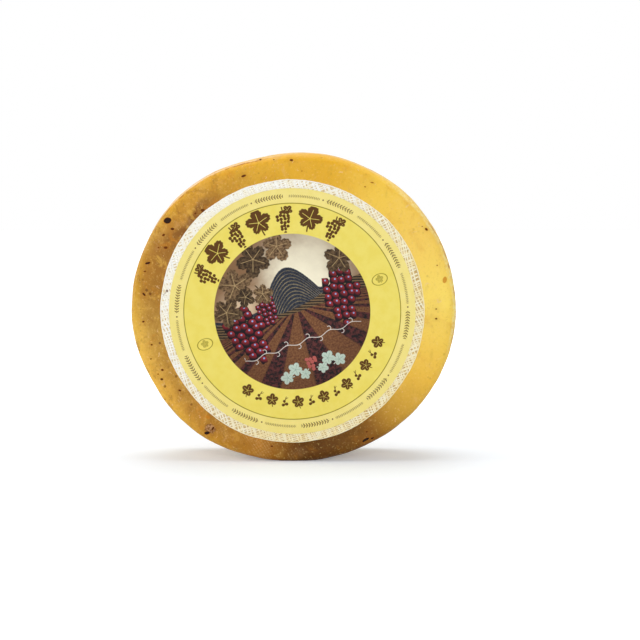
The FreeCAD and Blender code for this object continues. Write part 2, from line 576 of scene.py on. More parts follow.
def about_axis(g, x, z):
    """Distance from the wheel's axis in mm, and the turn round it, 0 to 1, anticlockwise from the right."""
    dx, dz = (x - AXIS_X) / MM, (z - AXIS_Z) / MM
    turn = g.math("ARCTAN2", dz, dx) / tau
    return g.hypot(dx, dz), g.math("FRACT", turn + 1.0)


HALF = 0.51  # the marks' soft edges make them look a little smaller than they are
MARK_SPARE = 0.0025  # how much further a mark reaches along Y, so that it holds on the uneven rind


def marks_mask(g, place, wobble):
    """The listed marks on the labelled face: how dark each place is, 0 to 1."""
    dark = 0.0
    for middle, (_, _, length, width, turn, depth) in zip(mark_places(), MARKS, strict=True):
        half_length, half_width = length * MM * HALF, width * MM * HALF
        size = (half_length, half_length + MARK_SPARE, half_width)
        spot = g.mapped(place, middle, (0, radians(-turn), 0), size)
        ragged = wobble * min(1.0, 2.4 / length)
        dark = g.largest(g.step(g.length(spot) + ragged, 1.15, 0.85, (0, depth)), dark)
    return dark


def rind_material():
    """The rind's look: toasted orange on the labelled face, paler and cracked on the heel and the back."""
    settings = {"Specular IOR Level": 0.12, "Subsurface Weight": 0.08, "Subsurface Scale": 0.003}
    material, g, shader = new_material("rind", {**settings, "Subsurface Radius": (1.0, 0.5, 0.2)})
    place = g.place()
    x, y, z = g.parts(place)
    swirl = g.noise(place, 9, 2, 0.5)
    distance, turn = about_axis(g, x, z)
    # the colour by angle round the face, its painted sheen and painted shade included
    ring = g.add(
        "ShaderNodeValToRGB",
        {"stops": tuple((angle / 360, colour) for angle, colour in RING_COLOURS)},
        {"Fac": turn + (swirl - 0.5) * 0.05},
    )
    colour = g.out(ring, "Color")
    spread = g.noise(place, 30, 3, 0.6) * 3 - 0.5
    back = g.step((y - FACE_Y) * spread, 0.007, 0.032)
    left = g.step(x, AXIS_X + 0.005, AXIS_X - 0.11)

    # a darker band beside the label on the left; outside it a lighter edge, painted sheen; and painted shadow
    # at the foot
    from_label = g.hypot((x - LABEL_X) / MM, (z - LABEL_Z) / MM)
    ragged = (g.noise(place, 26, 3, 0.55) - 0.5) * 26
    # where the band is darkest, round 139 degrees
    band_peak = g.step(abs(turn - 0.385), 0.055, 0.01)
    band = g.step(from_label + ragged, 152 - band_peak * 9, 134 + band_peak * 2) * left * (1 - back)
    colour = g.mix(band * (0.50 + band_peak * 0.42), colour, (0.25, 0.095, 0.012))
    colour = g.mix(band * band_peak * 0.30, colour, (0.17, 0.055, 0.014))
    # painted sheen: the face's outer edge lightened as if it caught the white surroundings, most on the left,
    # not at the foot
    foot_side = g.window(turn, (0.66, 0.71), (0.90, 0.84))
    rim = g.step(distance + ragged * 0.5, 147, 160) * (1 - back) * (1 - foot_side)
    colour = g.mix(rim * (left * 0.30 + 0.12 + band_peak * 0.25), colour, (0.86, 0.50, 0.050))
    # painted shadow: the foot of the face, about 257 to 313 degrees round, darkened
    low = g.window(turn, (0.715, 0.765), (0.87, 0.81)) * (1 - back * 0.85)
    colour = g.mix(low * 0.75, colour, (0.075, 0.026, 0.002))

    # mottling, broad to fine: a pattern, where it starts and is full, its strength, its colour, and its mask
    # the painted shadow at the foot gets less of the mottling below
    aged = (left * 0.75 + 0.25) * (1 - low * 0.5)  # the left side is more mottled
    half_left = left * 0.5 + 0.5
    cloud = g.noise(place, 24, 3, 0.55)
    orange = g.noise(place, 48, 4, 0.62, 0.5)
    amber = g.noise(place, 85, 4, 0.66, 0.7)
    blush = g.noise(place, 70, 4, 0.6, 0.3)
    streak = g.noise(g.scaled(place, (1.0, 1.0, 0.42)), 150, 5, 0.68, 0.3)
    fine = g.noise(place, 420, 3, 0.65)
    fleck = g.noise(place, 190, 3, 0.6, 0.8)
    for pattern, start, full, strength, tint, mask in (
        (cloud, 0.52, 0.78, 0.45, (0.48, 0.20, 0.022), left * 0.65 + 0.35),
        (cloud, 0.45, 0.22, 0.30, (0.92, 0.62, 0.16), 1),
        (orange, 0.54, 0.70, 0.50, (0.66, 0.25, 0.018), half_left),
        (amber, 0.55, 0.64, 0.42, (0.36, 0.145, 0.018), left),
        (amber, 0.44, 0.34, 0.42, (0.88, 0.52, 0.085), left),
        (blush, 0.58, 0.76, 0.26, (0.80, 0.48, 0.20), 1 - low * 0.7),
        (streak, 0.52, 0.72, 0.55, (0.30, 0.115, 0.014), aged),
        (streak, 0.45, 0.28, 0.45, (0.80, 0.46, 0.10), aged),
        (fine, 0.54, 0.76, 0.45, (0.34, 0.13, 0.02), half_left),
        (fine, 0.44, 0.26, 0.35, (0.95, 0.66, 0.22), 1),
        (fleck, 0.66, 0.72, 0.50, (0.90, 0.62, 0.30), 1 - low * 0.8),
    ):
        colour = g.mix(g.step(pattern, start, full, (0, strength)) * mask, colour, tint)

    # the heel and the back are paler, wrinkled, and stained in patches
    crust = g.noise(g.scaled(place, (1, 0.7, 1)), 30, 5, 0.62, 0.4)
    heel_colour = g.mix(g.step(crust, 0.38, 0.64), (0.90, 0.71, 0.36), (0.78, 0.51, 0.21))
    pink = g.noise(place, 52, 4, 0.62, 0.3)
    heel_colour = g.mix(g.step(pink, 0.50, 0.68, (0, 0.6)), heel_colour, (0.78, 0.48, 0.27))
    heel_colour = g.mix(g.step(pink, 0.46, 0.30, (0, 0.5)), heel_colour, (0.94, 0.81, 0.51))
    colour = g.mix(back * 0.86, colour, heel_colour)
    blotch = g.noise(place, 21, 5, 0.66, 0.4)
    colour = g.mix(g.step(blotch, 0.55, 0.70, (0, 0.42)) * back, colour, (0.54, 0.25, 0.065))
    worn = g.step(g.noise(place, 17, 3, 0.6), 0.44, 0.58) * back  # where wrinkles and specks gather
    ridge = abs(g.noise(g.scaled(place, (1, 0.55, 1)), 62, 4, 0.6, 0.5) - 0.5)
    cracks = g.step(ridge, 0.022, 0.006) * g.step(g.noise(place, 95, 2), 0.50, 0.60) * worn
    colour = g.mix(g.step(ridge, 0.05, 0.0, (0, 0.35)) * worn, colour, (0.45, 0.20, 0.05))
    colour = g.mix(cracks * 0.8, colour, (0.16, 0.06, 0.02))

    # the print of the cloth the wheel was pressed in: pale dots in rows, strongest low down
    along = (x * 0.86 + z * 0.5) / (2.1 * MM) + (g.noise(place, 30) - 0.5) * 1.6
    across = (z * 0.86 - x * 0.5) / (1.9 * MM) + (g.noise(place, 33) - 0.5) * 1.6
    dots = g.sine(along * tau) * g.sine(across * tau)
    foot = g.window(turn, (0.63, 0.67), (0.765, 0.735))
    patchy = g.step(g.noise(place, 45, 3), 0.38, 0.56)
    stipple = g.step(dots, 0.45, 0.8) * patchy * (foot * 0.75 + 0.05) * (1 - back * 0.5)
    colour = g.mix(stipple, colour, (0.86, 0.58, 0.24))

    # the edge of the face: a thin brown seam with a pale lip outside it on the upper left, a painted
    # highlight where the shoulder catches the light, and dry pale flakes on the right
    edge = g.attribute("inset") + (g.noise(place, 60, 3, 0.6) - 0.5) * 2.6
    front = g.step(y, FACE_Y + FRONT_DEPTH, FACE_Y + FRONT_DEPTH / 2)
    upper_left = g.window(turn, (0.25, 0.30), (0.43, 0.38))
    right = g.step(turn, 0.165, 0.12) + g.step(turn, 0.95, 0.98)
    flaky = g.step(g.noise(place, 300, 4, 0.7, 0.4), 0.44, 0.56)
    # painted highlight: the pale lip on the upper left
    lip_highlight = g.step(edge, 3.2, 2.0) * upper_left * front
    colour = g.mix(lip_highlight * (flaky * 0.4 + 0.45), colour, (0.97, 0.76, 0.50))
    wavy = (g.noise(place, 33, 2, 0.5, 0.7) - 0.5) * 12
    strip = g.step(edge + wavy * 0.4, 6.5, 4.5) * right * front
    colour = g.mix(strip * (flaky * 0.62 + 0.12), colour, (0.96, 0.78, 0.34))
    seam = g.step(abs(edge - 2.4 - upper_left + right * wavy * 0.3), 0.95, 0.4) * front
    broken = g.step(g.noise(place, 75, 3, 0.6, 0.2), 0.43, 0.56)
    colour = g.mix(seam * broken * g.largest(upper_left, right) * 0.75, colour, (0.42, 0.120, 0.012))
    # painted shade: the outermost edge on the left darkened, where the shoulder turns away from the light
    colour = g.mix(g.step(edge, 1.8, 0.6) * front * left * 0.35, colour, (0.36, 0.15, 0.02))

    # a dry, pinkish patch low on the left
    patch = g.hypot((x - PATCH[0]) / PATCH_SIZE[0], (z - PATCH[1]) / PATCH_SIZE[1])
    crumbs = g.noise(place, 520, 4, 0.7)
    dry = g.step(patch + (crumbs - 0.5) * 1.6, 1.15, 0.75)
    crumbly = g.mix(g.step(crumbs, 0.42, 0.6), (0.14, 0.052, 0.022), (0.62, 0.36, 0.19))
    colour = g.mix(dry * 0.8, colour, crumbly)

    # specks: the placed marks with their halos, and small ones everywhere
    wobble = (g.noise(place, 420, 3, 0.6) - 0.5) * 1.1
    marks = marks_mask(g, place, wobble) * (1 - back)
    halo = g.attribute("stain")
    colour = g.mix(g.step(halo, 0.02, 1.0, (0, 0.30)), colour, (0.40, 0.15, 0.022))
    seldom = g.step(g.noise(place, 38, 2), 0.50, 0.60)
    pins = g.step(g.cells(place, 95) + wobble * 0.06, 0.17, 0.09)
    pins = pins * g.largest(seldom * (left * 0.75 + 0.25), worn)
    colour = g.mix(pins * 0.8, colour, (0.15, 0.045, 0.004))
    knots = g.step(g.cells(g.scaled(place, (1, 0.7, 1)), 46) + wobble * 0.10, 0.13, 0.08) * worn
    colour = g.mix(knots * 0.9, colour, (0.085, 0.030, 0.010))
    dark = g.mix(g.step(marks, 0.20, 0.45), (0.60, 0.20, 0.004), (0.135, 0.032, 0.0))
    dark = g.mix(g.step(marks, 0.62, 0.9), dark, (0.022, 0.009, 0.004))
    colour = g.mix(g.step(marks, 0.0, 0.22), colour, dark)
    g.plug(shader.inputs["Base Color"], colour)

    rough = g.step(g.noise(place, 55, 4), 0.3, 0.7, (0.34, 0.52)) + back * 0.12 + g.step(marks, 0, 0.5) * 0.2
    g.plug(shader.inputs["Roughness"], rough)
    height = g.noise(place, 800, 3, 0.6) * 0.3 + g.noise(place, 260, 3, 0.6) * 0.8 - pins * 0.9 - knots * 1.2
    height = height + dots * (foot * 0.10 + 0.06) - cracks * 1.2
    g.plug(shader.inputs["Normal"], g.bump(height, 0.4, 0.0005))
    return material


def make_rind():
    rind = linked("rind", rind_mesh())
    rind.data.materials.append(rind_material())
    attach(rind, "root")
    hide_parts("cheese_wheel")


# ---- gauze

THREAD_WAYS = ((18, 2.2, 2.0), (108, 2.7, 2.4))  # direction in degrees, pitch and width in mm
THREAD_STEP = 1.1  # mm between a thread's points
THREAD_REACH = 134  # mm from the label's middle that threads may run
THREAD_SEED = 40
PITCH_SPREAD = (0.86, 1.14)  # least and most of the pitch from one thread to the next
THREAD_LEAN = 0.012  # most that a thread leans, as a slope
THREAD_TRIM = (-1.3, -0.6)  # mm past the gauze's edge at which threads end
THREAD_BOW = 7.5  # mm, most that the cloth is pulled out of line
RIM_WIDTH = 1.7  # mm, of the thread round the edge
RIM_POINTS = 900
RIM_INSET, RIM_SWAY = 0.60 * MM, 0.3 * MM  # how far in from the edge it runs, and how far it strays
GAUZE_INNER = 118.5  # mm from the label's middle: threads start under the paper's edge
FILM_THICK = 0.10 * MM
FILM_BACK = 0.01 * MM  # its back stands this far off the face
FILM_TRIM = 0.2 * MM  # it ends this far inside the gauze's edge
FILM_TURNS = 360
FILM_RINGS = (0.60, 0.90, 0.96, 1.0)  # shares of the film's radius
THREAD_SIZES = {
    "Thickness": 0.22 * MM,
    "Height": FACE_Y - FILM_THICK - 0.10 * MM,
    "Over and under": 0.07 * MM,
    "Wander": 0.28 * MM,
    "Width": 0.0,
}
TIGHT_SIDE = radians(140)  # the weave is closest on this side
RING_FROM, RING_TO = 116.0, 133.5  # mm, the ring of gauze that gets most of its layout


def gauze_edge():
    """Radius of the gauze's ragged edge by angle, from the CAD, as a function."""
    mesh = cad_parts["label_gauze"].data
    best = np.zeros(360)
    for v in mesh.vertices:
        dx, dz = v.co.x - LABEL_X, v.co.z - LABEL_Z
        k = int(degrees(atan2(dz, dx))) % 360
        best[k] = max(best[k], hypot(dx, dz))
    known = np.nonzero(best)[0]
    return lambda angle: float(np.interp(degrees(angle) % 360, known, best[known], period=360))


def thread_lines(edge, way, seed):
    """Lines of one family of threads, kept to the ring that shows round the paper."""
    heading, pitch, _ = THREAD_WAYS[way]
    rng = np.random.default_rng(seed)
    a = radians(heading)
    along = np.array((cos(a), sin(a)))
    across = np.array((-along[1], along[0]))
    verts, edges = [], []
    offset = -THREAD_REACH
    while offset < THREAD_REACH:
        offset += pitch * rng.uniform(*PITCH_SPREAD)
        lean = rng.uniform(-THREAD_LEAN, THREAD_LEAN)
        previous = None
        trim = rng.uniform(*THREAD_TRIM)
        for t in np.arange(-THREAD_REACH, THREAD_REACH, THREAD_STEP):
            p = along * t + across * (offset + lean * t)
            p = p + across * noise.noise(Vector((p[0] * 0.02, p[1] * 0.02, 5.0 + way))) * THREAD_BOW
            r = hypot(*p)
            outer = edge(atan2(p[1], p[0])) / MM + trim
            if GAUZE_INNER < r < outer:
                verts.append((LABEL_X + p[0] * MM, 0, LABEL_Z + p[1] * MM))
                if previous is not None:
                    edges.append((previous, len(verts) - 1))
                previous = len(verts) - 1
            else:
                previous = None
    return line_mesh(verts, edges)


def line_mesh(verts, edges):
    mesh = bpy.data.meshes.new("lines")
    mesh.from_pydata(verts, edges, [])
    return mesh


def rim_lines(edge):
    """The thread that runs round the gauze's edge."""
    verts = []
    for i in range(RIM_POINTS):
        a = tau * i / RIM_POINTS
        r = edge(a) - RIM_INSET + noise.noise(Vector((cos(a) * 9, sin(a) * 9, 2))) * RIM_SWAY
        verts.append((LABEL_X + r * cos(a), 0, LABEL_Z + r * sin(a)))
    return line_mesh(verts, [(i, (i + 1) % RIM_POINTS) for i in range(RIM_POINTS)])


def tight_side(g, x, z):
    """1 where the weave is closest, -1 on the other side of the label."""
    return g.math("COSINE", g.math("ARCTAN2", z - LABEL_Z, x - LABEL_X) - TIGHT_SIDE)


def thread_tree(material, way):
    """Geometry Nodes: lines of points become flat woven threads, each passing over and under the others."""
    tree = bpy.data.node_groups.new("threads", "GeometryNodeTree")
    tree.interface.new_socket("Geometry", in_out="INPUT", socket_type="NodeSocketGeometry")
    for name in THREAD_SIZES:
        tree.interface.new_socket(name, in_out="INPUT", socket_type="NodeSocketFloat")
    tree.interface.new_socket("Geometry", in_out="OUTPUT", socket_type="NodeSocketGeometry")
    g = Graph(tree)
    group = g.add("NodeGroupInput")
    curve = g.add("GeometryNodeMeshToCurve", inputs={"Mesh": g.out(group, "Geometry")})
    where = g.out(g.add("GeometryNodeInputPosition"))
    x, _, z = g.parts(where)
    other = radians(THREAD_WAYS[1 - way][0])
    pitch = THREAD_WAYS[1 - way][1] * MM
    phase = (z * cos(other) - x * sin(other)) * (pi / pitch)
    weave = g.sine(phase + way * pi / 2) * g.out(group, "Over and under")
    drift_x = (g.noise(where, 260, 2) - 0.5) * 2 * g.out(group, "Wander")
    drift_z = (g.noise(g.scaled(where, (1, 1, -1)), 240, 2) - 0.5) * 2 * g.out(group, "Wander")
    spot = g.vector(x + drift_x, g.out(group, "Height") + weave, z + drift_z)
    placed = g.add("GeometryNodeSetPosition", inputs={"Geometry": g.out(curve), "Position": spot})
    loose = g.step(tight_side(g, x, z), 0.1, 1.1, (0.64, 1.02))
    width = loose * (0.72 + g.noise(where, 420, 2) * 0.56)
    facing = {"Curve": g.out(placed), "Normal": (0, -1, 0)}
    level = g.add("GeometryNodeSetCurveNormal", {"mode": "FREE"}, facing)
    profile = g.add("GeometryNodeCurvePrimitiveCircle", {"mode": "RADIUS"}, {"Resolution": 6, "Radius": 0.5})
    size = g.vector(g.out(group, "Thickness"), g.out(group, "Width"), 1.0)
    flat = g.add("GeometryNodeTransform", inputs={"Geometry": g.out(profile, "Curve"), "Scale": size})
    sweep = {"Curve": g.out(level), "Profile Curve": g.out(flat), "Scale": width, "Fill Caps": True}
    swept = g.add("GeometryNodeCurveToMesh", inputs=sweep)
    smooth = g.add("GeometryNodeSetShadeSmooth", inputs={"Geometry": g.out(swept)})
    real = g.add("GeometryNodeRealizeInstances", inputs={"Geometry": g.out(smooth)})
    painted = g.add("GeometryNodeSetMaterial", inputs={"Geometry": g.out(real), "Material": material})
    g.add("NodeGroupOutput", inputs={"Geometry": g.out(painted)})
    return tree


def woven(lines, tree, width):
    """The plain mesh of threads that a tree makes of some lines. The width is in mm."""
    sizes = {**THREAD_SIZES, "Width": width * MM}
    thing = linked("lines", lines)
    modifier = thing.modifiers.new("threads", "NODES")
    modifier.node_group = tree
    for item in tree.interface.items_tree:
        if item.name in sizes:
            modifier[item.identifier] = sizes[item.name]
    graph = bpy.context.evaluated_depsgraph_get()
    mesh = bpy.data.meshes.new_from_object(thing.evaluated_get(graph))
    bpy.data.objects.remove(thing)
    return mesh


def gauze_film_mesh(edge):
    """The thin coat that holds the gauze to the rind."""
    levels = (FACE_Y - FILM_THICK, FACE_Y - FILM_BACK)

    def ring_point(side, ring, angle):
        r = (edge(angle) - FILM_TRIM) * FILM_RINGS[ring]
        return LABEL_X + r * cos(angle), levels[side], LABEL_Z + r * sin(angle)

    poles = [(LABEL_X, level, LABEL_Z) for level in levels]
    return closed_disc("gauze_film", FILM_TURNS, len(FILM_RINGS), ring_point, poles)


def closeness(g, place):
    """How close the weave is, 0 on the lower right to 1 on the upper left."""
    x, _, z = g.parts(place)
    return g.step(tight_side(g, x, z) + (g.noise(place, 25) - 0.5) * 0.7, -0.55, 0.45)


SPECK = (-123.4, 20.7)  # mm from the label's middle: a small brown speck on the gauze
SPECK_TAIL = (-3.4, -4.0)  # mm from the speck to the end of its tail
SPECK_COLOUR = (0.20, 0.085, 0.045)


def speck(g, place):
    """A small brown speck on the gauze with a short tail."""
    x, _, z = g.parts(place)
    dx, dz = (x - LABEL_X) / MM - SPECK[0], (z - LABEL_Z) / MM - SPECK[1]
    spot = g.step(g.hypot(dx, dz), 1.7, 0.7)
    tx, tz = SPECK_TAIL
    share = g.step(dx * tx + dz * tz, 0, tx * tx + tz * tz)
    tail = g.step(g.hypot(dx - share * tx, dz - share * tz), 1.1, 0.4) * 0.5
    return g.largest(spot, tail) * 0.85


def film_material():
    """What shows between the threads: the rind's orange through a thin coat."""
    material, g, shader = new_material("gauze_film", {"Roughness": 0.6, "Specular IOR Level": 0.12})
    place = g.place()
    near = closeness(g, place)
    spots = g.noise(place, 420, 3, 0.6)
    open_colour = g.mix(g.step(spots, 0.35, 0.65), (0.55, 0.36, 0.13), (0.80, 0.60, 0.26))
    close_colour = g.mix(g.step(spots, 0.35, 0.65), (0.68, 0.50, 0.25), (0.86, 0.73, 0.46))
    colour = g.mix(near, open_colour, close_colour)
    g.plug(shader.inputs["Base Color"], g.mix(speck(g, place), colour, SPECK_COLOUR))
    g.plug(shader.inputs["Normal"], g.bump(spots, 0.3, 0.0003))
    return material


def thread_material():
    """Cream threads, whiter where the weave is close."""
    material, g, shader = new_material("gauze_threads", {"Roughness": 0.8, "Specular IOR Level": 0.12})
    place = g.place()
    near = closeness(g, place)
    tone = g.noise(place, 130, 3, 0.6)
    fluff = g.noise(place, 900, 3, 0.7)
    open_colour = g.mix(g.step(tone, 0.3, 0.7), (0.97, 0.82, 0.44), (1.0, 0.93, 0.68))
    close_colour = g.mix(g.step(tone, 0.3, 0.7), (0.98, 0.92, 0.74), (1.0, 0.98, 0.92))
    colour = g.mix(near, open_colour, close_colour)
    colour = g.mix(g.step(fluff, 0.55, 0.8, (0, 0.22)), colour, (0.76, 0.62, 0.40))
    g.plug(shader.inputs["Base Color"], g.mix(speck(g, place), colour, SPECK_COLOUR))
    g.plug(shader.inputs["Normal"], g.bump(fluff, 0.5, 0.0003))
    return material


def joined(name, meshes):
    """One object from several meshes, each of one material."""
    things = [linked(name, mesh) for mesh in meshes]
    with bpy.context.temp_override(active_object=things[0], selected_editable_objects=things):
        bpy.ops.object.join()
    return things[0]


def lay_out_gauze(mesh):
    """The gauze's layout: the ring that shows in strips of a quarter turn each, the film's, the threads' and,
    lower, the threads' undersides; the rest of the film is small in a corner."""
    _, face, place, first = corner_facts(mesh)
    count = np.bincount(face)
    x, z = (place[:, 0] - LABEL_X) / MM, (place[:, 2] - LABEL_Z) / MM
    mid_x, mid_z = np.add.reduceat(x, first) / count, np.add.reduceat(z, first) / count
    mid_turn = np.arctan2(mid_z, mid_x) % tau
    quarter = np.minimum(mid_turn // (pi / 2), 3)
    c, n = np.cos(mid_turn)[face], np.sin(mid_turn)[face]
    off = np.arctan2(z * c - x * n, x * c + z * n)  # turn of a corner past its face's middle
    lean = (place[:, 1] - FACE_Y) / MM * 0.004  # keeps the walls from closing up
    u = 0.01 + 0.98 * ((mid_turn - quarter * pi / 2)[face] + off) / (pi / 2) + lean
    # each kind of face has four strips: where the lowest starts, and how high one is
    is_thread = read(mesh.polygons, "material_index", kind=np.int32) > 0
    faces_y = read(mesh.polygons, "normal", 3)[:, 1]
    start = np.where(is_thread, np.where(faces_y < 0.05, 0.29, 0.71), 0.01)[face]
    high = np.where(is_thread, np.where(faces_y < 0.05, 0.10, 0.02), 0.065)[face]
    share = np.clip((np.hypot(x, z) - RING_FROM) / (RING_TO - RING_FROM), 0, 1)
    v = start + (quarter[face] + share * 0.96) * high
    hidden = (~is_thread & ((np.hypot(mid_x, mid_z) < RING_FROM) | (faces_y > -0.5)))[face]
    u = np.where(hidden, 0.10 + x / RING_TO * 0.08 + lean, u)
    v = np.where(hidden, 0.90 + z / RING_TO * 0.08, v)
    lay_out(mesh, u, v)


def make_gauze():
    edge = gauze_edge()
    film = gauze_film_mesh(edge)
    film.materials.append(film_material())
    threads = thread_material()
    meshes = []
    for way, (_, _, width) in enumerate(THREAD_WAYS):
        meshes.append(woven(thread_lines(edge, way, THREAD_SEED + way), thread_tree(threads, way), width))
    meshes.append(woven(rim_lines(edge), thread_tree(threads, 0), RIM_WIDTH))
    gauze = joined("gauze", [film, *meshes])
    gauze.data.name = "gauze"
    lay_out_gauze(gauze.data)
    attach(gauze, "root")
    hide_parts("label_gauze")


# ---- printed label

BROWN = (0.105, 0.042, 0.007)
OLIVE = (0.30, 0.235, 0.022)
FIELD, FIELD_LIGHT = (0.855, 0.70, 0.125), (0.88065, 0.735, 0.15625)
BORDER, BORDER_LIGHT = (0.90, 0.75, 0.225), (0.918, 0.7725, 0.25875)
PICTURE_RADIUS = 77.1  # mm, as all sizes of the print
LINE_RADIUS = 107.0
LINE_WIDTH = 0.9
GARLAND_RADIUS = 114.0
GARLAND_LENGTHS = 10
GARLAND_SLANT = radians(52)  # of its leaves, from the stem
TOP_ROW = (92.0, 15.57, 3)  # radius, spacing in degrees, motifs each side of the middle one
FOOT_ROW = (90.5, 8.35, 6)
OVAL = (92.0, 7.7, 5.45)  # distance from the middle, half length and half height


def spot_about(g, place, x, y, size, turn=0):
    """Coordinates about a point of the print, turned, with 1 as the motif's own size."""
    return g.mapped(place, (x, y, 0), (0, 0, radians(turn)), (size, size, 1))


def print_place(g):
    """Coordinates on the print in mm, turned with it: x to its right and y up."""
    x, _, z = g.parts(g.place())
    dx, dz = (x - LABEL_X) / MM, (z - LABEL_Z) / MM
    c, n = cos(LABEL_TURN), sin(LABEL_TURN)
    return dx * c + dz * n, dz * c - dx * n


def leaf_motif(g, spot):
    """A five-lobed vine leaf about 1 tall: its mask and its veins."""
    x, y, _ = g.parts(spot)
    r = g.hypot(x, y)
    turn = g.math("ARCTAN2", x, y)
    lobes = abs(g.math("COSINE", turn * 2.5))
    edge = lobes ** 0.75 * 0.21 + g.math("COSINE", turn) * 0.05 + g.math("COSINE", turn * 25) * 0.014 + 0.28
    mask = g.step(r - edge, 0.02, -0.02)
    vein = abs(g.sine(turn * 2.5)) * r
    veins = g.step(vein, 0.034, 0.012) * g.step(r, 0.40, 0.34)
    stalk = g.step(abs(x - y * y * 0.25), 0.042, 0.022)
    stalk = stalk * g.window(y, (-0.02, -0.06), (-0.56, -0.52))
    return g.largest(mask, stalk), veins * g.step(y, -0.30, -0.24)


def bunch_motif(g, spot, berry=0.15, reach=0.62):
    """A bunch of grapes about 1 tall: its mask, and the node whose outputs give each berry's middle."""
    cell = g.add(
        "ShaderNodeTexVoronoi",
        {"voronoi_dimensions": "2D"},
        {"Vector": spot, "Scale": 1 / berry, "Randomness": 0.38},
    )
    x, y, _ = g.parts(g.out(cell, "Position"))
    width = g.math("SQRT", g.largest(y + 0.52, 0.0)) * 0.36 - g.step(y, 0.16, 0.46, (0, 0.20))
    inside = (abs(x) < width) * (y < 0.40)
    berries = g.step(g.out(cell, "Distance"), reach + 0.03, reach - 0.03) * inside
    return berries, cell


def row_place(g, x, y, row, middle):
    """Coordinates within a row of motifs on an arc, in mm, with the motif's number and the row's mask."""
    radius, spacing, each_side = row
    r = g.hypot(x, y)
    turn = g.math("ARCTAN2", x, y) if middle > 0 else g.math("ARCTAN2", x, -y)
    share = turn / radians(spacing)
    number = g.math("ROUND", share)
    along = (share - number) * (radians(spacing) * radius)
    up = (r - radius) * middle
    inside = abs(number) < each_side + 0.5
    return along, up, number, inside


def top_row(g, x, y):
    """The row of large brown motifs over the picture: vine leaves and bunches of grapes in turn."""
    along, up, number, inside = row_place(g, x, y, TOP_ROW, 1)
    near = g.step(abs(up), 14, 13.5)
    odd = abs(g.math("MODULO", number, 2))
    lean = g.sine(number * 5.3) * 0.22
    bent = g.vector(along + up * lean, up - along * lean, 0)
    leaf, veins = leaf_motif(g, spot_about(g, bent, 0, 1.5, 25))
    bunch_at = spot_about(g, g.vector(along, up, 0), 0, -0.8, 25)
    berries, _ = bunch_motif(g, bunch_at, 0.135, 0.50)
    cap, cap_veins = leaf_motif(g, spot_about(g, g.vector(along, up, 0), 3.6, 8.2, 9.5, -38))
    stem = g.step(abs(along + up * 0.12), 0.75, 0.45) * g.window(up, (5.5, 6.5), (12.2, 11.6))
    bunch = g.largest(berries, cap * (1 - cap_veins), stem)
    return (leaf * (1 - veins) * (1 - odd) + bunch * odd) * inside * near


def foot_row(g, x, y):
    """The row of small brown motifs under the picture: leaves and sprigs in turn."""
    along, up, number, inside = row_place(g, x, y, FOOT_ROW, -1)
    near = g.step(abs(up), 7.5, 7.2)
    odd = abs(g.math("MODULO", number, 2))
    leaf, veins = leaf_motif(g, spot_about(g, g.vector(along, up, 0), 0, 0.6, 12.5, 8))
    # a sprig: a bent stem with three berries
    berries = 0.0
    for bx, by, size in ((-1.6, -2.6, 1.7), (1.7, -1.4, 1.75), (-0.9, 1.2, 1.6)):
        berries = g.largest(g.step(g.hypot(along - bx, up - by), size, size - 0.4), berries)
    stem = g.step(abs(along + 0.2 - up * up * 0.03), 0.50, 0.25)
    stem = stem * g.window(up, (-3.2, -2.8), (6.2, 5.8))
    twig = g.step(abs(up - along * 0.8 - 3.0), 0.5, 0.25)
    twig = twig * g.step(abs(along - 1.2), 1.7, 1.3)
    sprig = g.largest(berries, stem, twig)
    return (leaf * (1 - veins) * (1 - odd) + sprig * odd) * inside * near


def garland(g, x, y):
    """The fine garland round the edge: ten leafy stems, each larger at its start, with dots between them."""
    r = g.hypot(x, y)
    off = r - GARLAND_RADIUS
    share = g.math("FRACT", g.math("ARCTAN2", y, x) * (-GARLAND_LENGTHS / tau) + GARLAND_LENGTHS)
    length = tau * GARLAND_RADIUS / GARLAND_LENGTHS
    s = share * length
    dot = g.step(g.hypot(s - length / 2, off), 0.95, 0.65)
    first = g.window(share, (0.545, 0.55), (0.945, 0.94))
    second = g.window(share, (0.015, 0.02), (0.455, 0.45))

    def leaves(pitch, reach, long, thin):
        local = g.math("FRACT", s / pitch) * pitch - pitch / 2
        side = abs(off)
        c, n = cos(GARLAND_SLANT), sin(GARLAND_SLANT)
        along = local * c + (side - reach) * n
        over = (side - reach) * c - local * n
        leaf = g.step(g.hypot(along / long, over / thin), 1.15, 0.85)
        return g.largest(leaf, g.step(side, 0.26, 0.12))

    large = leaves(2.65, 1.15, 1.35, 0.50) * first
    small = leaves(1.75, 0.72, 0.85, 0.34) * second * 0.72
    return g.largest(dot, large, small)


def ovals(g, x, y):
    """Two thin oval medallions, each with a small faint leaf."""
    middle, long, high = OVAL
    side = abs(x) - middle
    ring = g.step(abs(g.hypot(side / long, y / high) - 1), 0.085, 0.045)
    leaf, veins = leaf_motif(g, spot_about(g, g.vector(side, y, 0), 0, 0.2, 8.0))
    return g.largest(ring, leaf * (1 - veins) * 0.72)


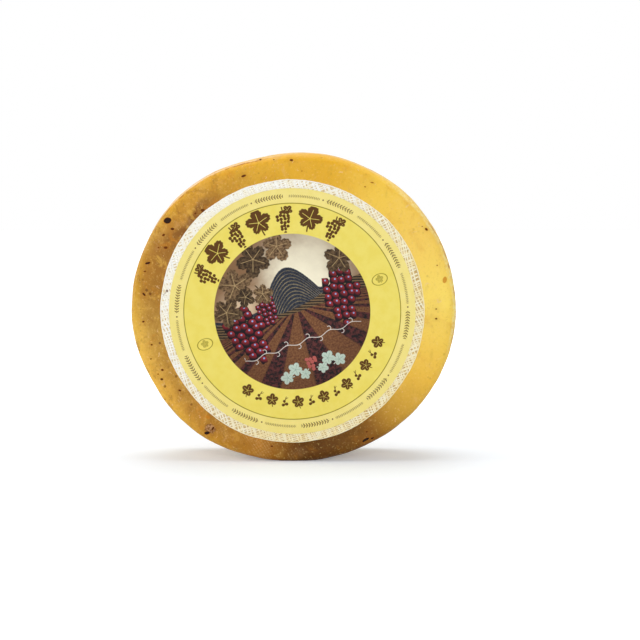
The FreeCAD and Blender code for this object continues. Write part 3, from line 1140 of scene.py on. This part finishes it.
def picture(g, x, y):
    """The ground of the round picture: vine rows that run to a dark terraced hill under an evening sky."""
    at = g.vector(x, y, 0)
    soft = g.noise(at, 0.05, 4, 0.6)
    fine = g.noise(at, 0.55, 4, 0.65)

    # sky: a pale glow right of the middle, tan towards the rim
    glow = g.hypot(x - 26, y - 34) + (soft - 0.5) * 26
    sky = g.mix(g.step(glow, 14, 62), (0.96, 0.88, 0.66), (0.30, 0.165, 0.08))
    second = g.hypot(x + 48, y - 20) + (soft - 0.5) * 16
    sky = g.mix(g.step(second, 30, 6, (0, 0.75)), sky, (0.86, 0.66, 0.44))

    # the far hill with its terraces, and the nearer slope with its rows
    summit = g.largest(1 - ((x - 4) / 29) ** 2, 0.0) * 25
    skyline = g.sine(x / 17 + 0.8) * 4 + g.sine(x / 7.5) * 1.4 + 14 + summit
    far = y - skyline + (fine - 0.5) * 1.5
    hill = g.mix(g.step(fine, 0.3, 0.7), (0.008, 0.010, 0.018), (0.048, 0.054, 0.072))
    terraces = g.step(g.sine(far * 1.75 + fine * 2.2), 0.45, 0.95) * g.step(far, -2.0, -4.0)
    hill = g.mix(terraces * g.step(soft, 0.35, 0.62, (0.25, 0.8)), hill, (0.34, 0.27, 0.15))
    colour = g.mix(g.step(far, 0.5, -0.5), sky, hill)
    near = y - (g.sine(x / 24 - 1.4) * 5 + 7.0) + (fine - 0.5) * 2
    rows = g.sine((y + x * 0.34) * 2.3 + (fine - 0.5) * 3)
    slope = g.mix(g.step(rows, -0.2, 0.5), (0.022, 0.016, 0.012), (0.20, 0.125, 0.06))
    colour = g.mix(g.step(near, 0.4, -0.4), colour, slope)

    # ground: dark rows of vines fan out from the foot of the slope over rust earth
    depth = g.largest(-2.0 - y, 0.01)
    fan = (x - 6) / (depth + 7)
    stripe = g.sine(fan * 7.2 + 1.0)
    earth = g.mix(g.step(fine, 0.3, 0.75), (0.11, 0.042, 0.020), (0.28, 0.120, 0.048))
    leafy = g.step(g.noise(at, 0.28, 5, 0.7), 0.40, 0.62)
    foliage = g.mix(leafy, (0.008, 0.007, 0.008), (0.12, 0.032, 0.030))
    ground = g.mix(g.step(stripe + (fine - 0.5) * 1.1, 0.05, 0.35), earth, foliage)
    return g.mix(g.step(y, -1.4, -2.6), colour, ground)


def times(colour, factor):
    """A colour scaled by a number."""
    return tuple(k * factor for k in colour)


def picture_grapes(g, x, y, colour):
    """Dark red bunches over the picture, each berry with a small blue light."""
    at = g.vector(x, y, 0)
    for cx, cy, size, turn, berry in (
        (-49, -6, 66, 9, 0.118),
        (51, -2, 62, -12, 0.118),
        (-22, 10, 34, -4, 0.14),
    ):
        spot = spot_about(g, at, cx, cy, size, turn)
        mask, cell = bunch_motif(g, spot, berry, 0.66)
        sx, sy, _ = g.parts(spot)
        mx, my, _ = g.parts(g.out(cell, "Position"))
        px, py = (sx - mx) / berry, (sy - my) / berry
        lit = px * 0.55 + py * 0.75 - (px * px + py * py) * 0.55
        round_part = g.step(px * px + py * py, 0.31, 0.22)
        body = g.mix(g.step(lit, -0.45, 0.28) * round_part, (0.007, 0.004, 0.007), (0.30, 0.024, 0.032))
        body = g.mix(g.step(g.hypot(px - 0.12, py - 0.2), 0.16, 0.07), body, (0.30, 0.46, 0.80))
        colour = g.mix(mask, colour, body)
    return colour


def picture_leaves(g, x, y, colour):
    """Brown and tan vine leaves along the top of the picture."""
    at = g.vector(x, y, 0)
    mottle = g.noise(at, 0.35, 4, 0.6)
    for cx, cy, size, turn, tone in (
        (-18, 62, 34, 160, 0.2),
        (-44, 44, 36, -150, 0.75),
        (8, 66, 30, 195, 0.9),
        (-61, 22, 30, -120, 0.35),
        (62, 34, 30, 120, 0.3),
        (-38, 30, 20, 150, 0.1),
        (-21, 27, 21, -165, 0.6),
    ):
        leaf, veins = leaf_motif(g, spot_about(g, at, cx, cy, size, turn))
        dark = times((1.0, 0.55, 0.28), 0.012 + 0.07 * tone)
        pale = times((1.0, 0.62, 0.30), 0.075 + 0.30 * tone)
        body = g.mix(g.step(mottle, 0.35, 0.65), dark, pale)
        body = g.mix(veins * 0.8, body, (0.60, 0.42, 0.20))
        colour = g.mix(leaf, colour, body)
    return colour


def picture_tendril(g, x, y, colour):
    """A fine pale tendril with curls, across the lower part of the picture."""
    up, wave, rise, curl = -31.0, 3.6, 1.5, 2.0  # mm
    sway = g.sine(x / wave)
    stem = g.step(abs(y - up - sway * rise), 0.50, 0.15)
    along = g.math("FLOORED_MODULO", x, pi * wave) - pi * wave / 2
    out = y - up - g.math("SIGN", sway) * (rise + curl)
    curls = g.step(abs(g.hypot(along, out) - curl), 0.46, 0.14) * (along > curl * -0.55)
    reach = g.step(abs(x), 61, 60)
    return g.mix(g.largest(stem, curls) * reach * 0.85, colour, (0.90, 0.84, 0.76))


def picture_sprig(g, x, y, colour):
    """A pale green sprig of six leaves and a small red bunch, at the foot of the picture."""
    at = g.vector(x, y, 0)
    for cx, cy, size, turn in (
        (-27, -60, 13, 75),
        (27, -60, 13, -75),
        (-17, -55, 14, 40),
        (17, -55, 14, -40),
        (-9, -62, 11, 120),
        (9, -62, 11, -120),
    ):
        leaf, veins = leaf_motif(g, spot_about(g, at, cx, cy, size, turn))
        body = g.mix(veins * 0.9, (0.60, 0.73, 0.62), (0.11, 0.25, 0.18))
        colour = g.mix(leaf, colour, body)
    berries, _ = bunch_motif(g, spot_about(g, at, 0, -54, 19), 0.19, 0.52)
    return g.mix(berries, colour, (0.50, 0.12, 0.10))


def label_material():
    """The print: yellow with olive lines, brown rows of motifs, and the round picture."""
    material, g, shader = new_material("label_print", {"Roughness": 0.45, "Specular IOR Level": 0.10})
    x, y = print_place(g)
    r = g.hypot(x, y)
    grain = g.noise(g.vector(x, y, 0), 0.10, 4, 0.55)
    cloudy = g.step(grain, 0.35, 0.65)
    field = g.mix(cloudy, FIELD, FIELD_LIGHT)
    border = g.mix(cloudy, BORDER, BORDER_LIGHT)
    colour = g.mix(g.step(r, LINE_RADIUS - 0.2, LINE_RADIUS + 0.2), field, border)
    line = g.step(abs(r - LINE_RADIUS), LINE_WIDTH / 2 + 0.15, LINE_WIDTH / 2 - 0.15)
    colour = g.mix(line, colour, OLIVE)
    colour = g.mix(ovals(g, x, y) * 0.95, colour, OLIVE)
    colour = g.mix(garland(g, x, y) * 0.9, colour, BROWN)
    colour = g.mix(top_row(g, x, y), colour, BROWN)
    colour = g.mix(foot_row(g, x, y), colour, BROWN)
    scene = picture(g, x, y)
    for part in (picture_grapes, picture_leaves, picture_sprig, picture_tendril):
        scene = part(g, x, y, scene)
    dimmed = g.mix(1.0, scene, (0.52, 0.47, 0.44), blend="MULTIPLY")
    scene = g.mix(g.step(r + grain * 20, 40, 84, (0.0, 0.45)), scene, dimmed)
    colour = g.mix(g.step(r, PICTURE_RADIUS + 0.25, PICTURE_RADIUS - 0.25), colour, scene)
    g.plug(shader.inputs["Base Color"], colour)
    g.plug(shader.inputs["Normal"], g.bump(g.noise(g.place(), 300, 3), 0.12, 0.0003))
    return material


PAPER_RINGS = 48
PAPER_TURNS = 360
PAPER_THICK = 0.22 * MM
PAPER_SINK = 0.12  # mm, how far its front lies behind the front of the solid paper


def paper_wave(x, z, share):
    """How far the paper stands off the gauze, in mm: low swells, and small lifts along its edge."""
    swell = noise.noise(Vector((x * 14, z * 14, 2.0))) * 0.10
    ripple = noise.noise(Vector((x * 55, z * 55, 6.0))) * 0.05
    lift = max(0.0, share - 0.93) / 0.07 * (0.05 + 0.14 * noise.noise(Vector((x * 30, z * 30, 9.0))))
    return swell + ripple + lift


def make_paper():
    """The paper: a thin closed disc that stands a little unevenly off the gauze under it."""

    def level(side, wave):
        return PAPER_LOW.y + (PAPER_SINK - wave) * MM + side * PAPER_THICK

    def ring_point(side, ring, angle):
        share = (ring + 1) / PAPER_RINGS
        x, z = PAPER_RADIUS * share * cos(angle), PAPER_RADIUS * share * sin(angle)
        return LABEL_X + x, level(side, paper_wave(x, z, share)), LABEL_Z + z

    poles = [(LABEL_X, level(side, 0), LABEL_Z) for side in (0, 1)]
    mesh = closed_disc("paper", PAPER_TURNS, PAPER_RINGS, ring_point, poles)
    mesh.materials.append(label_material())
    lay_out_disc(mesh, PAPER_RADIUS, PAPER_RINGS * PAPER_TURNS)
    paper = linked("paper", mesh)
    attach(paper, "root")
    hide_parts("label_paper")


# ---- studio

FLOOR_HALF = 6.0
FLOOR_COLOUR = (0.82, 0.865, 0.92, 1)
FLOOR_DARK, FLOOR_LIT = 0.25, 0.62  # distances over which the floor turns to pure white
FLOOR_GLOW = 0.24  # how far the floor beside the wheel is lifted towards white
WORLD_LIGHT = 0.36

# Lamps: name, place, size, watts
LAMPS = (
    ("top", (0.0, 0.3, 2.0), 1.8, 24),
    ("front", (0.30, -2.6, 0.90), 2.0, 29.5),
    ("side", (-1.8, -0.1, 0.55), 1.0, 9),
)


def seen_rays(g):
    """1 for the rays that show the background: camera, glossy and transmission rays."""
    ray = g.add("ShaderNodeLightPath")
    seen = g.out(ray, "Is Camera Ray") + g.out(ray, "Is Glossy Ray")
    return g.math("ADD", seen, g.out(ray, "Is Transmission Ray"), clamp=True)


def make_world():
    world = bpy.data.worlds.new("studio")
    bpy.context.scene.world = world
    world.use_nodes = True
    g = Graph(world.node_tree)
    background = world.node_tree.nodes["Background"]
    background.inputs["Color"].default_value = (1, 1, 1, 1)
    g.plug(background.inputs["Strength"], g.step(seen_rays(g), 0, 1, (WORLD_LIGHT, 1.0), smooth=False))


def make_floor():
    """A white floor that keeps the wheel's shadow and runs out into the white behind it."""
    mesh = bpy.data.meshes.new("floor")
    h = FLOOR_HALF
    mesh.from_pydata([(-h, -h, 0), (h, -h, 0), (h, h, 0), (-h, h, 0)], [], [(0, 1, 2, 3)])
    floor = linked("floor", mesh)
    settings = {"Base Color": FLOOR_COLOUR, "Roughness": 0.8, "Specular IOR Level": 0.1}
    material, g, shader = new_material("floor", settings)
    x, y, _ = g.parts(g.place())
    far = g.step(g.hypot(x * 0.8, y), FLOOR_DARK, FLOOR_LIT)
    g.plug(shader.inputs["Emission Color"], g.mix(far, (FLOOR_GLOW,) * 3, (1, 1, 1)))
    g.plug(shader.inputs["Emission Strength"], seen_rays(g))
    mesh.materials.append(material)


def make_studio():
    make_world()
    make_floor()
    for name, place, size, power in LAMPS:
        data = bpy.data.lights.new(name, "AREA")
        data.shape = "DISK"
        data.size = size
        data.energy = power
        light = linked(name, data)
        light.location = place
        point_at(light, Vector((0, 0, AXIS_Z)))
    bpy.context.scene.view_settings.view_transform = "Standard"


make_camera()
make_studio()
make_rind()
make_gauze()
make_paper()
